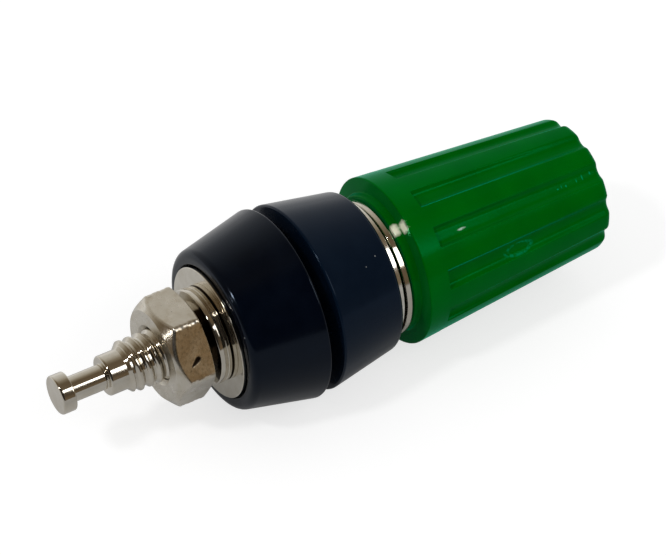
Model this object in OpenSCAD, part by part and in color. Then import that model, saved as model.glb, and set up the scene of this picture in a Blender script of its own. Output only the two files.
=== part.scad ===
// Banana socket: a panel-mounting binding post with a solder turret.
// The post lies along Y. Its knob and plug mouth face -Y, and its turret points to +Y.
// The origin is on the axis, in the front face of the panel.
// Heights h below run along the axis, from the panel's front face towards the knob.

/* [Panel] */
// Thickness of the panel between the two insulators
panel_thick = 1.2; // [0.8:0.1:3]

/* [Stud, rear] */
// Diameter of the solder turret's head
turret_head_d = 3.1; // [2.4:0.1:3.6]
// Length of the solder turret's head
turret_head_len = 1.1; // [0.6:0.1:2]
// Diameter of the solder turret's neck
turret_neck_d = 2; // [1.4:0.1:2.2]
// Length of the solder turret's neck
turret_neck_len = 2.9; // [1.5:0.1:5]
// Diameter of the plain step in front of the neck
step_d = 3.2; // [2.6:0.1:3.6]
// Length of the plain step
step_len = 1.5; // [0.8:0.1:3]
// Outer diameter of the rear thread
rear_thread_d = 4.16; // [3.8:0.01:5]
// Length of rear thread that stands out of the nut
thread_free_len = 2.85; // [2:0.05:8]
// Diameter of the shank in the front insulator
shank_d = 5.6; // [5.2:0.1:6.4]

/* [Stud, front] */
// Diameter of the flange on the front insulator
flange_d = 11.3; // [10.5:0.1:14]
// Thickness of the flange
flange_thick = 0.65; // [0.4:0.05:1.2]
// Outer diameter of the threaded tube
tube_d = 6.35; // [5.8:0.05:7]
// Length of the threaded tube in front of the flange
tube_len = 18.35; // [15:0.05:24]
// Diameter of the plug bore
plug_bore_d = 4.1; // [3.6:0.05:4.6]
// Depth of the plug bore
plug_bore_depth = 18.3; // [12:0.1:18.5]
// Diameter of the cross hole for a wire
wire_hole_d = 2.2; // [1.4:0.1:2.8]
// Edge of the cross hole in front of the flange
wire_hole_offset = 0.7; // [0.7:0.1:2]

/* [Front insulator] */
// Length of the front insulator in front of the panel
front_len = 6; // [4:0.1:9]
// Ledge of the front insulator around the flange
front_ledge = 0.95; // [0.5:0.05:1.5]
// Growth of its radius from the flange to the panel
front_flare = 1.05; // [0.5:0.05:2]
// Radius of its rounded front edge
front_round = 0.4; // [0.2:0.05:0.8]
// Diameter of the spigot through the panel hole
spigot_d = 9.5; // [8.5:0.1:10.5]
// Depth of the spigot in the rear insulator
spigot_seat = 1.8; // [1:0.1:2.5]

/* [Rear insulator] */
// Length of the rear insulator behind the panel
rear_len = 6.1; // [4.5:0.05:9]
// Wall around the washer recess
rear_rim_wall = 1; // [0.7:0.05:2]
// Growth of its radius from the washer to the panel
rear_flare = 1.4; // [0.5:0.05:2.5]
// Radius of its rounded rear edge
rear_round = 0.7; // [0.2:0.05:1]

/* [Nut and washers] */
// Diameter of the flat washer
washer_d = 10.65; // [9.5:0.05:12]
// Thickness of the flat washer
washer_thick = 0.9; // [0.6:0.05:1.4]
// Height of the flat washer above its recess
washer_proud = 0.25; // [0.1:0.05:0.55]
// Diameter of the split lock washer
lock_d = 7.8; // [6.8:0.1:8.4]
// Thickness of the split lock washer
lock_thick = 1.05; // [0.6:0.05:1.4]
// Gap of the lock washer's slanted cut
lock_cut = 0.5; // [0.2:0.1:1]
// Width of the nut across its flats
nut_width = 7.9; // [7:0.1:9]
// Thickness of the nut
nut_thick = 3.7; // [2.5:0.1:4]
// Height of the nut's rear chamfer at the middle of a flat
nut_rear_bevel = 0.25; // [0.05:0.05:0.4]
// Height from the lock washer to the front end of a flat, at its middle
nut_front_bevel = 0.64; // [0.5:0.02:0.9]
// Diameter of the nut's boss on the lock washer
nut_boss_d = 5.8; // [5.4:0.1:7]
// Turned position of the nut's first corner
nut_turn = 58; // [0:1:60]

/* [Knob] */
// Diameter of the clamp washer
clamp_d = 11.3; // [11:0.1:14]
// Thickness of the clamp washer
clamp_thick = 0.56; // [0.5:0.01:1.2]
// Bevel of the clamp washer's rear edge
clamp_bevel = 0.06; // [0.02:0.01:0.3]
// Growth of the knob's radius from the clamp washer to its rim
knob_flare = 1.3; // [0.6:0.05:1.8]
// Length of the stepped collar between the clamp washer and the rim
collar_len = 0.71; // [0.6:0.01:2]
// Length of the collar's neck, before it flares out to the rim
neck_len = 0.57; // [0.2:0.01:0.58]
// Growth of the radius along the neck
neck_flare = 0.12; // [0:0.01:0.2]
// Length of the knob in front of its rim
grip_len = 18.05; // [14:0.05:24]
// Loss of the knob's radius from its rim to its front end
grip_taper = 1.35; // [0.5:0.05:2]
// Radius of the knob's front edge
knob_round = 0.6; // [0.2:0.05:1]
// Number of flutes
flute_count = 12; // [6:1:16]
// Turned position of the first flute's middle
flute_turn = 13; // [0:1:30]
// Angle that one flute takes up
flute_angle = 14.5; // [6:0.5:18]
// Depth of the flutes where they begin
flute_depth = 0.45; // [0.2:0.05:0.7]
// Depth of the flutes at the knob's front end
flute_end_depth = 0.32; // [0.1:0.02:0.7]
// Distance of the flutes from the rim
flute_start = 1.8; // [1:0.05:5]
// Outer diameter of the knob's threaded insert
insert_d = 9; // [8.4:0.1:9.4]
// Length of the insert's thick part
insert_len = 6.5; // [4:0.1:9]
// Floor of the knob between the clamp washer and the insert
knob_floor = 2.1; // [1.5:0.1:5]
// Wall of the insert's collar, which carries the clamp washer
insert_wall = 0.75; // [0.5:0.05:1]
// Radial width of the collar's spun lip
lip_width = 0.55; // [0.3:0.05:0.8]

/* [Clearances] */
// Radial clearance between the stud and the insert's thread
thread_gap = 0.05; // [0.02:0.01:0.1]
// Radial clearance of holes over the stud and of loose seats
slip_gap = 0.12; // [0.05:0.01:0.2]
// Radial clearance of the knob over the tube and of the clamp washer over its collar
turn_gap = 0.3; // [0.2:0.05:0.4]
// Open gap between the flange and the clamp washer
clamp_gap = 0.24; // [0.1:0.02:0.5]
// Axial clearance between the clamp washer, the knob and the lip
end_gap = 0.08; // [0.04:0.01:0.15]

/* [Hidden] */
$fn = 96;

NICKEL = [0.72, 0.69, 0.64];
BRASS = [0.78, 0.63, 0.34];
BLACK = [0.03, 0.035, 0.06];
GREEN = [0.0, 0.36, 0.06];

// Small chamfer on turned and moulded edges
edge = 0.15;
// Overlap of a cutter past the face that it opens
past = 1;
// Angles of the nut's two chamfers to its axis
nut_rear_slope = 48;
nut_front_slope = 72;
// Slope of the lock washer's cut and of a drill's point
lock_cut_angle = 30;
drill_point_angle = 31;

// Places along the axis, from the panel towards the turret
rear_front_h = -panel_thick;
rear_back_h = rear_front_h - rear_len;
spigot_end_h = rear_front_h - spigot_seat;
washer_back_h = rear_back_h - washer_proud;
washer_front_h = washer_back_h + washer_thick;
lock_back_h = washer_back_h - lock_thick;
nut_back_h = lock_back_h - nut_thick;
thread_end_h = nut_back_h - thread_free_len;
step_end_h = thread_end_h - step_len;
neck_end_h = step_end_h - turret_neck_len;
tip_h = neck_end_h - turret_head_len;

// Places along the axis, from the panel towards the knob
flange_top_h = front_len + flange_thick;
tube_end_h = flange_top_h + tube_len;
bore_end_h = tube_end_h - plug_bore_depth;
wire_hole_h = flange_top_h + wire_hole_offset + wire_hole_d / 2;
clamp_low_h = flange_top_h + clamp_gap;
clamp_top_h = clamp_low_h + clamp_thick;
knob_low_h = clamp_top_h + end_gap;
rim_h = knob_low_h + collar_len;
knob_top_h = rim_h + grip_len;
insert_low_h = knob_low_h + knob_floor;
insert_top_h = insert_low_h + insert_len;

// Radii that follow from the driving sizes
tube_r = tube_d / 2;
thread_r = rear_thread_d / 2;
front_small_r = flange_d / 2 + front_ledge;
front_big_r = front_small_r + front_flare;
recess_r = washer_d / 2 + slip_gap;
rear_small_r = recess_r + rear_rim_wall;
rear_big_r = rear_small_r + rear_flare;
collar_r = clamp_d / 2;
rim_r = collar_r + knob_flare;
knob_top_r = rim_r - grip_taper;
insert_bore_r = tube_r + thread_gap;
clear_r = tube_r + turn_gap;
insert_collar_r = clear_r + insert_wall;
lip_r = insert_collar_r + lip_width;
lip_h = clamp_thick / 2;
hole_r = thread_r + slip_gap;

// Turns a shape drawn along +Z so that it lies along the post's axis
module on_axis() {
    rotate([90, 0, 0])
        children();
}

// Points of a quarter arc about a centre [r, h], from one angle to another
function arc(centre, radius, from, to, steps = 8) = [
    for (i = [0:steps])
        let (angle = from + (to - from) * i / steps)
            centre + radius * [cos(angle), sin(angle)]
];

// Ring between two heights
module ring(outer_r, inner_r, low_h, high_h) {
    difference() {
        translate([0, 0, low_h])
            cylinder(r = outer_r, h = high_h - low_h);
        translate([0, 0, low_h - past])
            cylinder(r = inner_r, h = high_h - low_h + 2 * past);
    }
}

// Turned stud: turret, step, rear thread, shank, flange and plug tube
module stud() {
    head_r = turret_head_d / 2;
    outline = [
        [0, tip_h], [head_r - edge, tip_h], [head_r, tip_h + edge], [head_r, neck_end_h],
        [turret_neck_d / 2, neck_end_h], [turret_neck_d / 2, step_end_h],
        [step_d / 2 - edge, step_end_h], [step_d / 2, step_end_h + edge], [step_d / 2, thread_end_h],
        [thread_r, thread_end_h + thread_r - step_d / 2], [thread_r, spigot_end_h],
        [shank_d / 2, spigot_end_h], [shank_d / 2, front_len],
        [flange_d / 2, front_len], [flange_d / 2, flange_top_h], [tube_r, flange_top_h],
        [tube_r, tube_end_h - edge], [tube_r - edge, tube_end_h], [0, tube_end_h]
    ];
    bore_r = plug_bore_d / 2;
    color(NICKEL)
        on_axis()
            difference() {
                rotate_extrude()
                    polygon(outline);
                translate([0, 0, bore_end_h])
                    cylinder(r = bore_r, h = plug_bore_depth + past);
                translate([0, 0, bore_end_h - bore_r * tan(drill_point_angle)])
                    cylinder(r1 = 0, r2 = bore_r, h = bore_r * tan(drill_point_angle));
                translate([0, 0, tube_end_h - 2 * edge])
                    cylinder(r1 = bore_r, r2 = bore_r + 4 * edge, h = 4 * edge);
                translate([0, 0, wire_hole_h])
                    rotate([0, 90, 0])
                        cylinder(r = wire_hole_d / 2, h = tube_d + 2 * past, center = true);
            }
}

// Black cone in front of the panel, with a round front edge and the spigot that fills the panel hole
module front_insulator() {
    slope = atan(front_flare / front_len);
    round_r = min(front_round, front_ledge - edge);
    round_centre = [front_small_r - round_r * (1 - sin(slope)) / cos(slope), front_len - round_r];
    outline = concat(
        [
            [shank_d / 2 + slip_gap, spigot_end_h], [spigot_d / 2, spigot_end_h], [spigot_d / 2, 0],
            [front_big_r - edge, 0], [front_big_r - edge * front_flare / front_len, edge]
        ],
        arc(round_centre, round_r, slope, 90),
        [[shank_d / 2 + slip_gap, front_len]]
    );
    color(BLACK)
        on_axis()
            rotate_extrude()
                polygon(outline);
}

// Black cone behind the panel, with a round rear edge and the recess for the flat washer
module rear_insulator() {
    slope = atan(rear_flare / rear_len);
    round_r = min(rear_round, rear_rim_wall - edge);
    round_centre = [rear_small_r - round_r * (1 - sin(slope)) / cos(slope), rear_back_h + round_r];
    outline = concat(
        [
            [hole_r, washer_front_h], [recess_r, washer_front_h], [recess_r, rear_back_h]
        ],
        arc(round_centre, round_r, -90, -slope),
        [
            [rear_big_r - edge * rear_flare / rear_len, rear_front_h - edge],
            [rear_big_r - edge, rear_front_h],
            [spigot_d / 2 + slip_gap, rear_front_h], [spigot_d / 2 + slip_gap, spigot_end_h],
            [hole_r, spigot_end_h]
        ]
    );
    color(BLACK)
        on_axis()
            rotate_extrude()
                polygon(outline);
}

// Large plain washer in the rear recess
module flat_washer() {
    color(NICKEL)
        on_axis()
            ring(washer_d / 2, hole_r, washer_back_h, washer_front_h);
}

// Spring washer with one slanted cut
module lock_washer() {
    color(NICKEL)
        on_axis()
            difference() {
                ring(lock_d / 2, hole_r, lock_back_h, washer_back_h);
                translate([lock_d / 2, 0, (lock_back_h + washer_back_h) / 2])
                    rotate([lock_cut_angle, 0, 0])
                        cube([lock_d, lock_cut, 4 * lock_thick], center = true);
            }
}

// Hexagon nut: a small chamfer at the rear, a steep one at the front, and a boss on the lock washer
module hex_nut() {
    flat_r = nut_width / 2;
    corner_r = flat_r / cos(30);
    rear_r = flat_r - nut_rear_bevel * tan(nut_rear_slope);
    boss_r = nut_boss_d / 2;
    flat_end_h = lock_back_h - nut_front_bevel;
    turned = [
        [0, nut_back_h], [rear_r, nut_back_h],
        [corner_r, nut_back_h + (corner_r - rear_r) / tan(nut_rear_slope)],
        [corner_r, flat_end_h - (corner_r - flat_r) / tan(nut_front_slope)],
        [boss_r, flat_end_h + (flat_r - boss_r) / tan(nut_front_slope)],
        [boss_r, lock_back_h], [0, lock_back_h]
    ];
    color(NICKEL)
        on_axis()
            difference() {
                intersection() {
                    translate([0, 0, nut_back_h])
                        rotate([0, 0, nut_turn])
                            cylinder(r = corner_r, h = nut_thick, $fn = 6);
                    rotate_extrude()
                        polygon(turned);
                }
                translate([0, 0, nut_back_h - past])
                    cylinder(r = thread_r + thread_gap, h = nut_thick + 2 * past);
            }
}

// Ring that presses the wire, hollowed at the rear for the lip that carries it
module clamp_washer() {
    outline = [
        [lip_r + turn_gap, clamp_low_h], [collar_r - clamp_bevel, clamp_low_h],
        [collar_r, clamp_low_h + clamp_bevel], [collar_r, clamp_top_h],
        [insert_collar_r + turn_gap, clamp_top_h],
        [insert_collar_r + turn_gap, clamp_low_h + lip_h + end_gap],
        [lip_r + turn_gap, clamp_low_h + lip_h + end_gap]
    ];
    color(NICKEL)
        on_axis()
            rotate_extrude()
                polygon(outline);
}

// Green tapered knob: stepped collar, sharp rim, flutes, and a bore over the tube and the insert
module knob() {
    slope = atan(grip_taper / grip_len);
    outline = concat(
        [
            [insert_collar_r, knob_low_h], [collar_r, knob_low_h],
            [collar_r + neck_flare, knob_low_h + neck_len], [rim_r, rim_h]
        ],
        arc([knob_top_r - knob_round, knob_top_h - knob_round], knob_round, slope, 90),
        [
            [clear_r + edge, knob_top_h], [clear_r, knob_top_h - edge],
            [clear_r, insert_top_h], [insert_d / 2, insert_top_h],
            [insert_d / 2, insert_low_h], [insert_collar_r, insert_low_h]
        ]
    );
    color(GREEN)
        on_axis()
            difference() {
                rotate_extrude()
                    polygon(outline);
                for (i = [0:flute_count - 1])
                    rotate([0, 0, flute_turn + i * 360 / flute_count - flute_angle / 2])
                        flute();
            }
}

// Cutter of one flute: a sector whose floor rises a little towards the tapered surface
module flute() {
    low_h = rim_h + flute_start;
    low_r = rim_r - grip_taper * flute_start / grip_len - flute_depth;
    top_r = knob_top_r - flute_end_depth;
    rotate_extrude(angle = flute_angle)
        polygon([
            [low_r, low_h], [rim_r + past, low_h], [rim_r + past, knob_top_h + past],
            [top_r, knob_top_h + past], [top_r, knob_top_h]
        ]);
}

// Sleeve in the knob: its thick part is threaded, and its plain collar ends in the lip under the clamp washer
module knob_insert() {
    outline = [
        [clear_r, clamp_low_h], [lip_r, clamp_low_h], [lip_r, clamp_low_h + lip_h],
        [insert_collar_r, clamp_low_h + lip_h], [insert_collar_r, insert_low_h],
        [insert_d / 2, insert_low_h], [insert_d / 2, insert_top_h], [insert_bore_r, insert_top_h],
        [insert_bore_r, insert_low_h], [clear_r, insert_low_h]
    ];
    color(BRASS)
        on_axis()
            rotate_extrude()
                polygon(outline);
}

stud();
front_insulator();
rear_insulator();
flat_washer();
lock_washer();
hex_nut();
clamp_washer();
knob();
knob_insert();
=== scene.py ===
# %% [markdown]
# # A green banana socket
# The object is a binding post for a panel: a fluted green knob, two black insulating cones, and a
# nickel-plated stud with a nut, washers and a solder turret. The CAD model is loaded first as a fixed
# frame, and every surface below is then worked out in millimetres in that same frame. The post lies along
# Y: the knob is at -Y and the turret at +Y, so a height h along the axis, counted from the panel towards
# the knob, is simply -Y.

import bpy
import numpy as np
from mathutils import Matrix, Vector


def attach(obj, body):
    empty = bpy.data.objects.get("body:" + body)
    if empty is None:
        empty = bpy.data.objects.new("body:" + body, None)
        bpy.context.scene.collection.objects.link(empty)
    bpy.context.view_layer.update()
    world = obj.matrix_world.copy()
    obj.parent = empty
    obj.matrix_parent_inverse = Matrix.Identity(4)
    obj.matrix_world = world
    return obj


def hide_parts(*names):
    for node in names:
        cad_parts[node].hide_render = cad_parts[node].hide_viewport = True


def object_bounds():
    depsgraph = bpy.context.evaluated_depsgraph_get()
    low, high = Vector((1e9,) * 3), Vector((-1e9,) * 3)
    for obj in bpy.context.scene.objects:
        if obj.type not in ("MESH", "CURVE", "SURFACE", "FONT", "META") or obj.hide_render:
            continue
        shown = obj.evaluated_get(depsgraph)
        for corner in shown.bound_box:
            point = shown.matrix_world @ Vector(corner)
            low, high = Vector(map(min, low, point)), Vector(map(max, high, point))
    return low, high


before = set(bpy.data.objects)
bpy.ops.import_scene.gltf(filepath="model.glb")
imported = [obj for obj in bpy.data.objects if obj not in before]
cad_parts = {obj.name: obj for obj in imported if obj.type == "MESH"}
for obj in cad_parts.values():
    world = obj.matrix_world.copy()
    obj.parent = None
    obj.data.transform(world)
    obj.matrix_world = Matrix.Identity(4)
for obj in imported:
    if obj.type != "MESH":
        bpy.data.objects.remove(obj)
cad_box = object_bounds()
MM = 0.001
print("CAD box in mm:", [[round(v / MM, 2) for v in corner] for corner in cad_box])

# %% [markdown]
# ## Camera
# The photograph was taken from behind the turret, from above and with a long lens. The place below was
# found by fitting the rings of the part to the picture, so it is written as numbers. A camera can be aimed
# by hand in the viewport, but a direction turned into a rotation keeps the horizon level and can be
# repeated exactly.

# %% Make the camera
CAMERA_PLACE = Vector((-0.14061, 0.08335, 0.14727))
CAMERA_LOOK = Vector((0.6359, -0.3934, -0.6641))
CAMERA_LENS, CAMERA_SENSOR, CAMERA_NEAR = 154.05, 36.0, 0.005

camera = bpy.data.objects.new("camera", bpy.data.cameras.new("camera"))
camera.data.lens = CAMERA_LENS
camera.data.sensor_width = CAMERA_SENSOR
camera.data.clip_start = CAMERA_NEAR
camera.location = CAMERA_PLACE
camera.rotation_mode = "QUATERNION"
camera.rotation_quaternion = CAMERA_LOOK.to_track_quat("-Z", "Y")
bpy.context.scene.collection.objects.link(camera)
bpy.context.scene.camera = camera
bpy.context.scene.view_settings.view_transform = "Standard"
print("camera", round(CAMERA_PLACE.length / MM), "mm from the panel's centre")

# %% [markdown]
# ## Nodes in a few words
# Every finish and the studio itself are node trees. Nodes can be wired by hand in the shader editor. In a
# script, one helper that makes a node and fills its sockets, with a number or with another node's output,
# keeps each finish down to a few lines that read from top to bottom. Sums and changes of range come so
# often that they get short helpers of their own.

# %% Helpers for nodes
def node(tree, kind, sockets=None, **settings):
    """One node of a kind: settings become its properties, and each socket gets a value or a link."""
    made = tree.nodes.new("ShaderNode" + kind)
    for key, value in settings.items():
        setattr(made, key, value)
    for key, value in (sockets or {}).items():
        if isinstance(value, bpy.types.NodeSocket):
            tree.links.new(value, made.inputs[key])
        else:
            made.inputs[key].default_value = value
    return made


def work_out(tree, operation, *values):
    """Result of one Math node, whose values are numbers or sockets."""
    return node(tree, "Math", dict(enumerate(values)), operation=operation).outputs[0]


def ramp(tree, value, low, high, to_low=0.0, to_high=1.0):
    """Straight-line map of a value from one range to another, held at the ends."""
    sockets = {"Value": value, "From Min": low, "From Max": high, "To Min": to_low, "To Max": to_high}
    return node(tree, "MapRange", sockets).outputs["Result"]


# %% [markdown]
# ## The studio
# The part lies on a white table and the picture around it is white. The camera therefore sees a white
# world, while the soft light that falls on the part has a plain level of its own. Bright metal is only as
# good as what it mirrors: the far side of the room is as white as the backdrop, the ceiling is brown, and
# the photographer's own side is dark. Rays that leave a glossy surface see those tones, so the plating gets
# its grey and brown bands. It could also be a picture of a room wrapped round the scene, but a gradient is
# enough here and reads no file.

# %% World
WHITE = (1.0, 1.0, 1.0, 1.0)
SKY_LEVEL = 0.56
DARK_SIDE = (-0.71, 0.44, 0.55)
ROOM_TONES = [
    (0.05, (1.0, 1.0, 1.0, 1)), (0.20, (0.68, 0.68, 0.67, 1)), (0.35, (0.58, 0.56, 0.52, 1)),
    (0.475, (0.42, 0.39, 0.34, 1)), (0.555, (0.28, 0.24, 0.18, 1)), (0.68, (0.14, 0.105, 0.065, 1)),
    (0.81, (0.15, 0.11, 0.068, 1)), (0.90, (0.02, 0.018, 0.016, 1)), (1.0, (0.015, 0.014, 0.013, 1)),
]


def mirrored_rays(tree, rays):
    """1 for a ray that left a glossy or clear surface, and 0 for any other."""
    return work_out(tree, "MAXIMUM", rays["Is Glossy Ray"], rays["Is Transmission Ray"])


world = bpy.data.worlds.new("studio")
bpy.context.scene.world = world
world.use_nodes = True
tree = world.node_tree
tree.nodes.clear()
rays = node(tree, "LightPath").outputs
toward = node(tree, "TexCoord").outputs["Generated"]
facing = node(tree, "VectorMath", {0: toward, 1: DARK_SIDE}, operation="DOT_PRODUCT").outputs["Value"]
tones = node(tree, "ValToRGB", {"Fac": ramp(tree, facing, -1.0, 1.0)})
stops = tones.color_ramp.elements
for i, (place, colour) in enumerate(ROOM_TONES):
    stop = stops[i] if i < len(stops) else stops.new(place)
    stop.position, stop.color = place, colour
room = node(tree, "Background", {"Color": tones.outputs["Color"], "Strength": 1.0}).outputs[0]
sky = node(tree, "Background", {"Color": WHITE, "Strength": SKY_LEVEL}).outputs[0]
backdrop = node(tree, "Background", {"Color": WHITE, "Strength": 1.0}).outputs[0]
lit = node(tree, "MixShader", {0: mirrored_rays(tree, rays), 1: sky, 2: room}).outputs[0]
seen = node(tree, "MixShader", {0: rays["Is Camera Ray"], 1: lit, 2: backdrop}).outputs[0]
node(tree, "OutputWorld", {"Surface": seen})
print("world: white to the camera, level", SKY_LEVEL, "as light")

# %% [markdown]
# The floor is pale paper. Its own colour catches the soft shadow, and a lift that only the camera sees
# brings it to the white of the backdrop. Mirrored in metal it is lifted too, but less: fully on the far
# side, where the real table was bright, and hardly at all on the photographer's side.

# %% Floor
FLOOR_HALF = 3.0
FLOOR_COLOUR = (0.46, 0.46, 0.46, 1.0)
FLOOR_LIFT, FLOOR_MIRRORED_LIFT = 0.67, 0.46
FLOOR_DIM_X, FLOOR_BRIGHT_X = -0.020, 0.060

floor_z = cad_box[0].z
corners = np.array([(-1, -1), (1, -1), (1, 1), (-1, 1)]) * FLOOR_HALF
floor_mesh = bpy.data.meshes.new("floor")
floor_mesh.from_pydata(np.column_stack([corners, np.full(4, floor_z)]).tolist(), [], [(0, 1, 2, 3)])
floor = bpy.data.objects.new("floor", floor_mesh)
bpy.context.scene.collection.objects.link(floor)
paper = bpy.data.materials.new("white_paper")
paper.use_nodes = True
tree = paper.node_tree
tree.nodes.clear()
rays = node(tree, "LightPath").outputs
matt = node(tree, "BsdfDiffuse", {"Color": FLOOR_COLOUR}).outputs[0]
across = node(tree, "SeparateXYZ", {0: node(tree, "TexCoord").outputs["Object"]}).outputs["X"]
far_lift = ramp(tree, across, FLOOR_DIM_X, FLOOR_BRIGHT_X, 0.0, FLOOR_MIRRORED_LIFT)
faint = work_out(tree, "MULTIPLY", mirrored_rays(tree, rays), far_lift)
strong = work_out(tree, "MULTIPLY", rays["Is Camera Ray"], FLOOR_LIFT)
glow = node(tree, "Emission", {"Color": WHITE, "Strength": work_out(tree, "ADD", faint, strong)}).outputs[0]
seen = node(tree, "AddShader", {0: matt, 1: glow}).outputs[0]
node(tree, "OutputMaterial", {"Surface": seen})
floor_mesh.materials.append(paper)
print("floor at z =", round(floor_z / MM, 2), "mm")

# %% [markdown]
# One large soft box gives the white streak on the plating. A small one, above and behind the turret, gives
# the points of light on corners and rounded edges. A still smaller one stands low and straight behind the
# turret and adds points on the nut's chamfer and on the thread. Each is an area lamp on a sphere round the
# part, so it is described by the direction it comes from, its two sides and the brightness of its face.

# %% Lamps
LAMP_DISTANCE = 0.45


def soft_box(name, direction, width, height, brightness):
    """Area lamp of a given face brightness: its power is brightness times pi times its area."""
    lamp = bpy.data.lights.new(name, "AREA")
    lamp.shape = "RECTANGLE"
    lamp.size, lamp.size_y = width, height
    lamp.energy = brightness * np.pi * width * height
    box = bpy.data.objects.new(name, lamp)
    away = Vector(direction).normalized()
    box.location = away * LAMP_DISTANCE
    box.rotation_mode = "QUATERNION"
    box.rotation_quaternion = (-away).to_track_quat("-Z", "Y")
    bpy.context.scene.collection.objects.link(box)
    print(name, "power", round(lamp.energy, 3), "W")


soft_box("window_low", (-0.64, -0.40, 0.655), width=0.14, height=0.21, brightness=3.4)
soft_box("window_rear", (-0.10, 0.60, 0.79), width=0.05, height=0.05, brightness=55.0)
soft_box("window_far", (0.065, 0.924, 0.374), width=0.024, height=0.024, brightness=22.0)

# %% [markdown]
# ## Surfaces from arrays
# Almost everything on this part was turned on a lathe or moulded in a turned mould, so it is a profile
# carried round the axis. Blender's Screw modifier or Spin could do that. Here the radius R and height H are
# whole arrays, one row for each point of the profile and one column for each angle, because the same arrays
# can then also hold a hexagon, flutes or a helical thread, which no plain spin gives.

# %% Skin: a grid of radii and heights made into a mesh
def place_on_axis(radius, height, angle):
    """Points of the surface (R cos a, -H, R sin a), in metres."""
    return np.stack([radius * np.cos(angle), -height, radius * np.sin(angle)], -1) * MM


def stacked(angle, *parts):
    """Grids R and H: each part (r, h) is spread over the angles, and the parts follow one another in rows."""
    plain = np.ones_like(angle)
    return [np.vstack([part[i] * plain for part in parts]) for i in (0, 1)]


def grid_faces(index):
    """Quads between neighbouring rows and columns of a grid of point numbers."""
    return np.stack([index[:-1, :-1], index[:-1, 1:], index[1:, 1:], index[1:, :-1]], -1).reshape(-1, 4)


def skin(name, radius, height, angle, loop):
    """Closed surface from a grid: rows run along the profile and columns run round the axis.

    A looped profile joins its last row to its first.
    Otherwise the first and last rows shrink to poles on the axis.
    """
    points = place_on_axis(radius, height, angle).reshape(-1, 3)
    index = np.arange(radius.size).reshape(radius.shape)
    if loop:
        index = np.vstack([index, index[:1]])
    else:
        index[0], index[-1] = index[0, 0], index[-1, 0]
    index = np.hstack([index, index[:, :1]])
    return mesh_piece(name, points, grid_faces(index))


# %% [markdown]
# A pole turns the first and last quads into triangles, with two corners that are the same point. The next
# helper drops those doubled corners and any point that no face uses, so the mesh that reaches Blender is
# closed and clean.

# %% Mesh from points and quads
SMOOTH_ANGLE = np.radians(34)


def mesh_piece(name, points, quads):
    """Object at the origin from points and quads, where a quad with a doubled corner becomes a triangle."""
    keep = quads != np.roll(quads, 1, axis=1)
    counts = keep.sum(1)
    loops = quads[keep]
    used, loops = np.unique(loops, return_inverse=True)
    mesh = bpy.data.meshes.new(name)
    mesh.vertices.add(len(used))
    mesh.vertices.foreach_set("co", points[used].astype(np.float32).ravel())
    mesh.loops.add(len(loops))
    mesh.loops.foreach_set("vertex_index", loops.astype(np.int32))
    mesh.polygons.add(len(counts))
    mesh.polygons.foreach_set("loop_start", (np.cumsum(counts) - counts).astype(np.int32))
    mesh.update(calc_edges=True)
    mesh.validate()
    mesh.set_sharp_from_angle(angle=SMOOTH_ANGLE)
    piece = bpy.data.objects.new(name, mesh)
    bpy.context.scene.collection.objects.link(piece)
    print(name, len(mesh.vertices), "points,", len(mesh.polygons), "faces")
    return piece


# %% [markdown]
# No real edge is perfectly sharp, and a small round is what catches a line of light. A Bevel modifier could
# add it afterwards. Rounding the profile itself is lighter and exact: each corner is swapped for an arc
# that touches both of its runs, and two extra rows just beyond the arc keep the flat faces flat when they
# are shaded smooth.

# %% Profiles with rounded corners
ARC_STEPS, SUPPORT, TURNED_COLUMNS = 6, 0.04, 192
NO_LENGTH, NO_TURN, SAME_POINT = 1e-9, 1e-6, 1e-5


def rounded(corners, loop):
    """Profile (r, h) from corners (r, h, round): every corner becomes an arc of that radius.

    The arc's centre lies on the corner's bisector, at round / sin(half angle).
    Its points are spread evenly.
    """
    data = np.array(corners, float)
    spot, size = data[:, :2], data[:, 2:]
    to_last, to_next = np.roll(spot, 1, 0) - spot, np.roll(spot, -1, 0) - spot
    if not loop:
        to_last[0], to_next[-1] = -to_next[0], -to_last[-1]
    reach_last = np.linalg.norm(to_last, axis=1, keepdims=True)
    reach_next = np.linalg.norm(to_next, axis=1, keepdims=True)
    to_last, to_next = to_last / reach_last, to_next / reach_next
    half = np.arccos(np.clip((to_last * to_next).sum(1, keepdims=True), -1, 1)) / 2
    run = size / np.tan(half)
    middle = to_last + to_next
    middle = middle / np.maximum(np.linalg.norm(middle, axis=1, keepdims=True), NO_LENGTH)
    centre = spot + middle * size / np.sin(half)
    first, last = spot + to_last * run - centre, spot + to_next * run - centre
    turn = np.maximum(np.pi - 2 * half, NO_TURN)
    share = np.linspace(0, 1, ARC_STEPS + 1)
    early, late = np.sin((1 - share) * turn)[..., None], np.sin(share * turn)[..., None]
    arc = centre[:, None] + (early * first[:, None] + late * last[:, None]) / np.sin(turn)[..., None]
    before = spot + to_last * np.minimum(run + SUPPORT, (run + reach_last) / 2)
    after = spot + to_next * np.minimum(run + SUPPORT, (run + reach_next) / 2)
    path = np.concatenate([before[:, None], arc, after[:, None]], 1).reshape(-1, 2)
    if not loop:
        path = path[1:-1]
    step = np.linalg.norm(np.diff(path, axis=0, append=path[:1] if loop else path[-1:] + 1), axis=1)
    return path[step > SAME_POINT]


def turned(name, corners, loop, columns=TURNED_COLUMNS):
    """Turned piece: the rounded profile carried round the axis, so R and H don't depend on the angle."""
    angle = np.linspace(0, 2 * np.pi, columns, endpoint=False)[None]
    radius, height = stacked(angle, np.split(rounded(corners, loop), 2, 1))
    return skin(name, radius, height, angle, loop)


# %% [markdown]
# ## Helpers for finishes
# Every finish starts as a material with one Principled shader and needs the same few things: the surface
# point in millimetres, a cloudy noise, a mix of two colours and a shallow bump. They could be wired anew
# each time, but with short helpers a finish shows only what is special about it.

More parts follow.
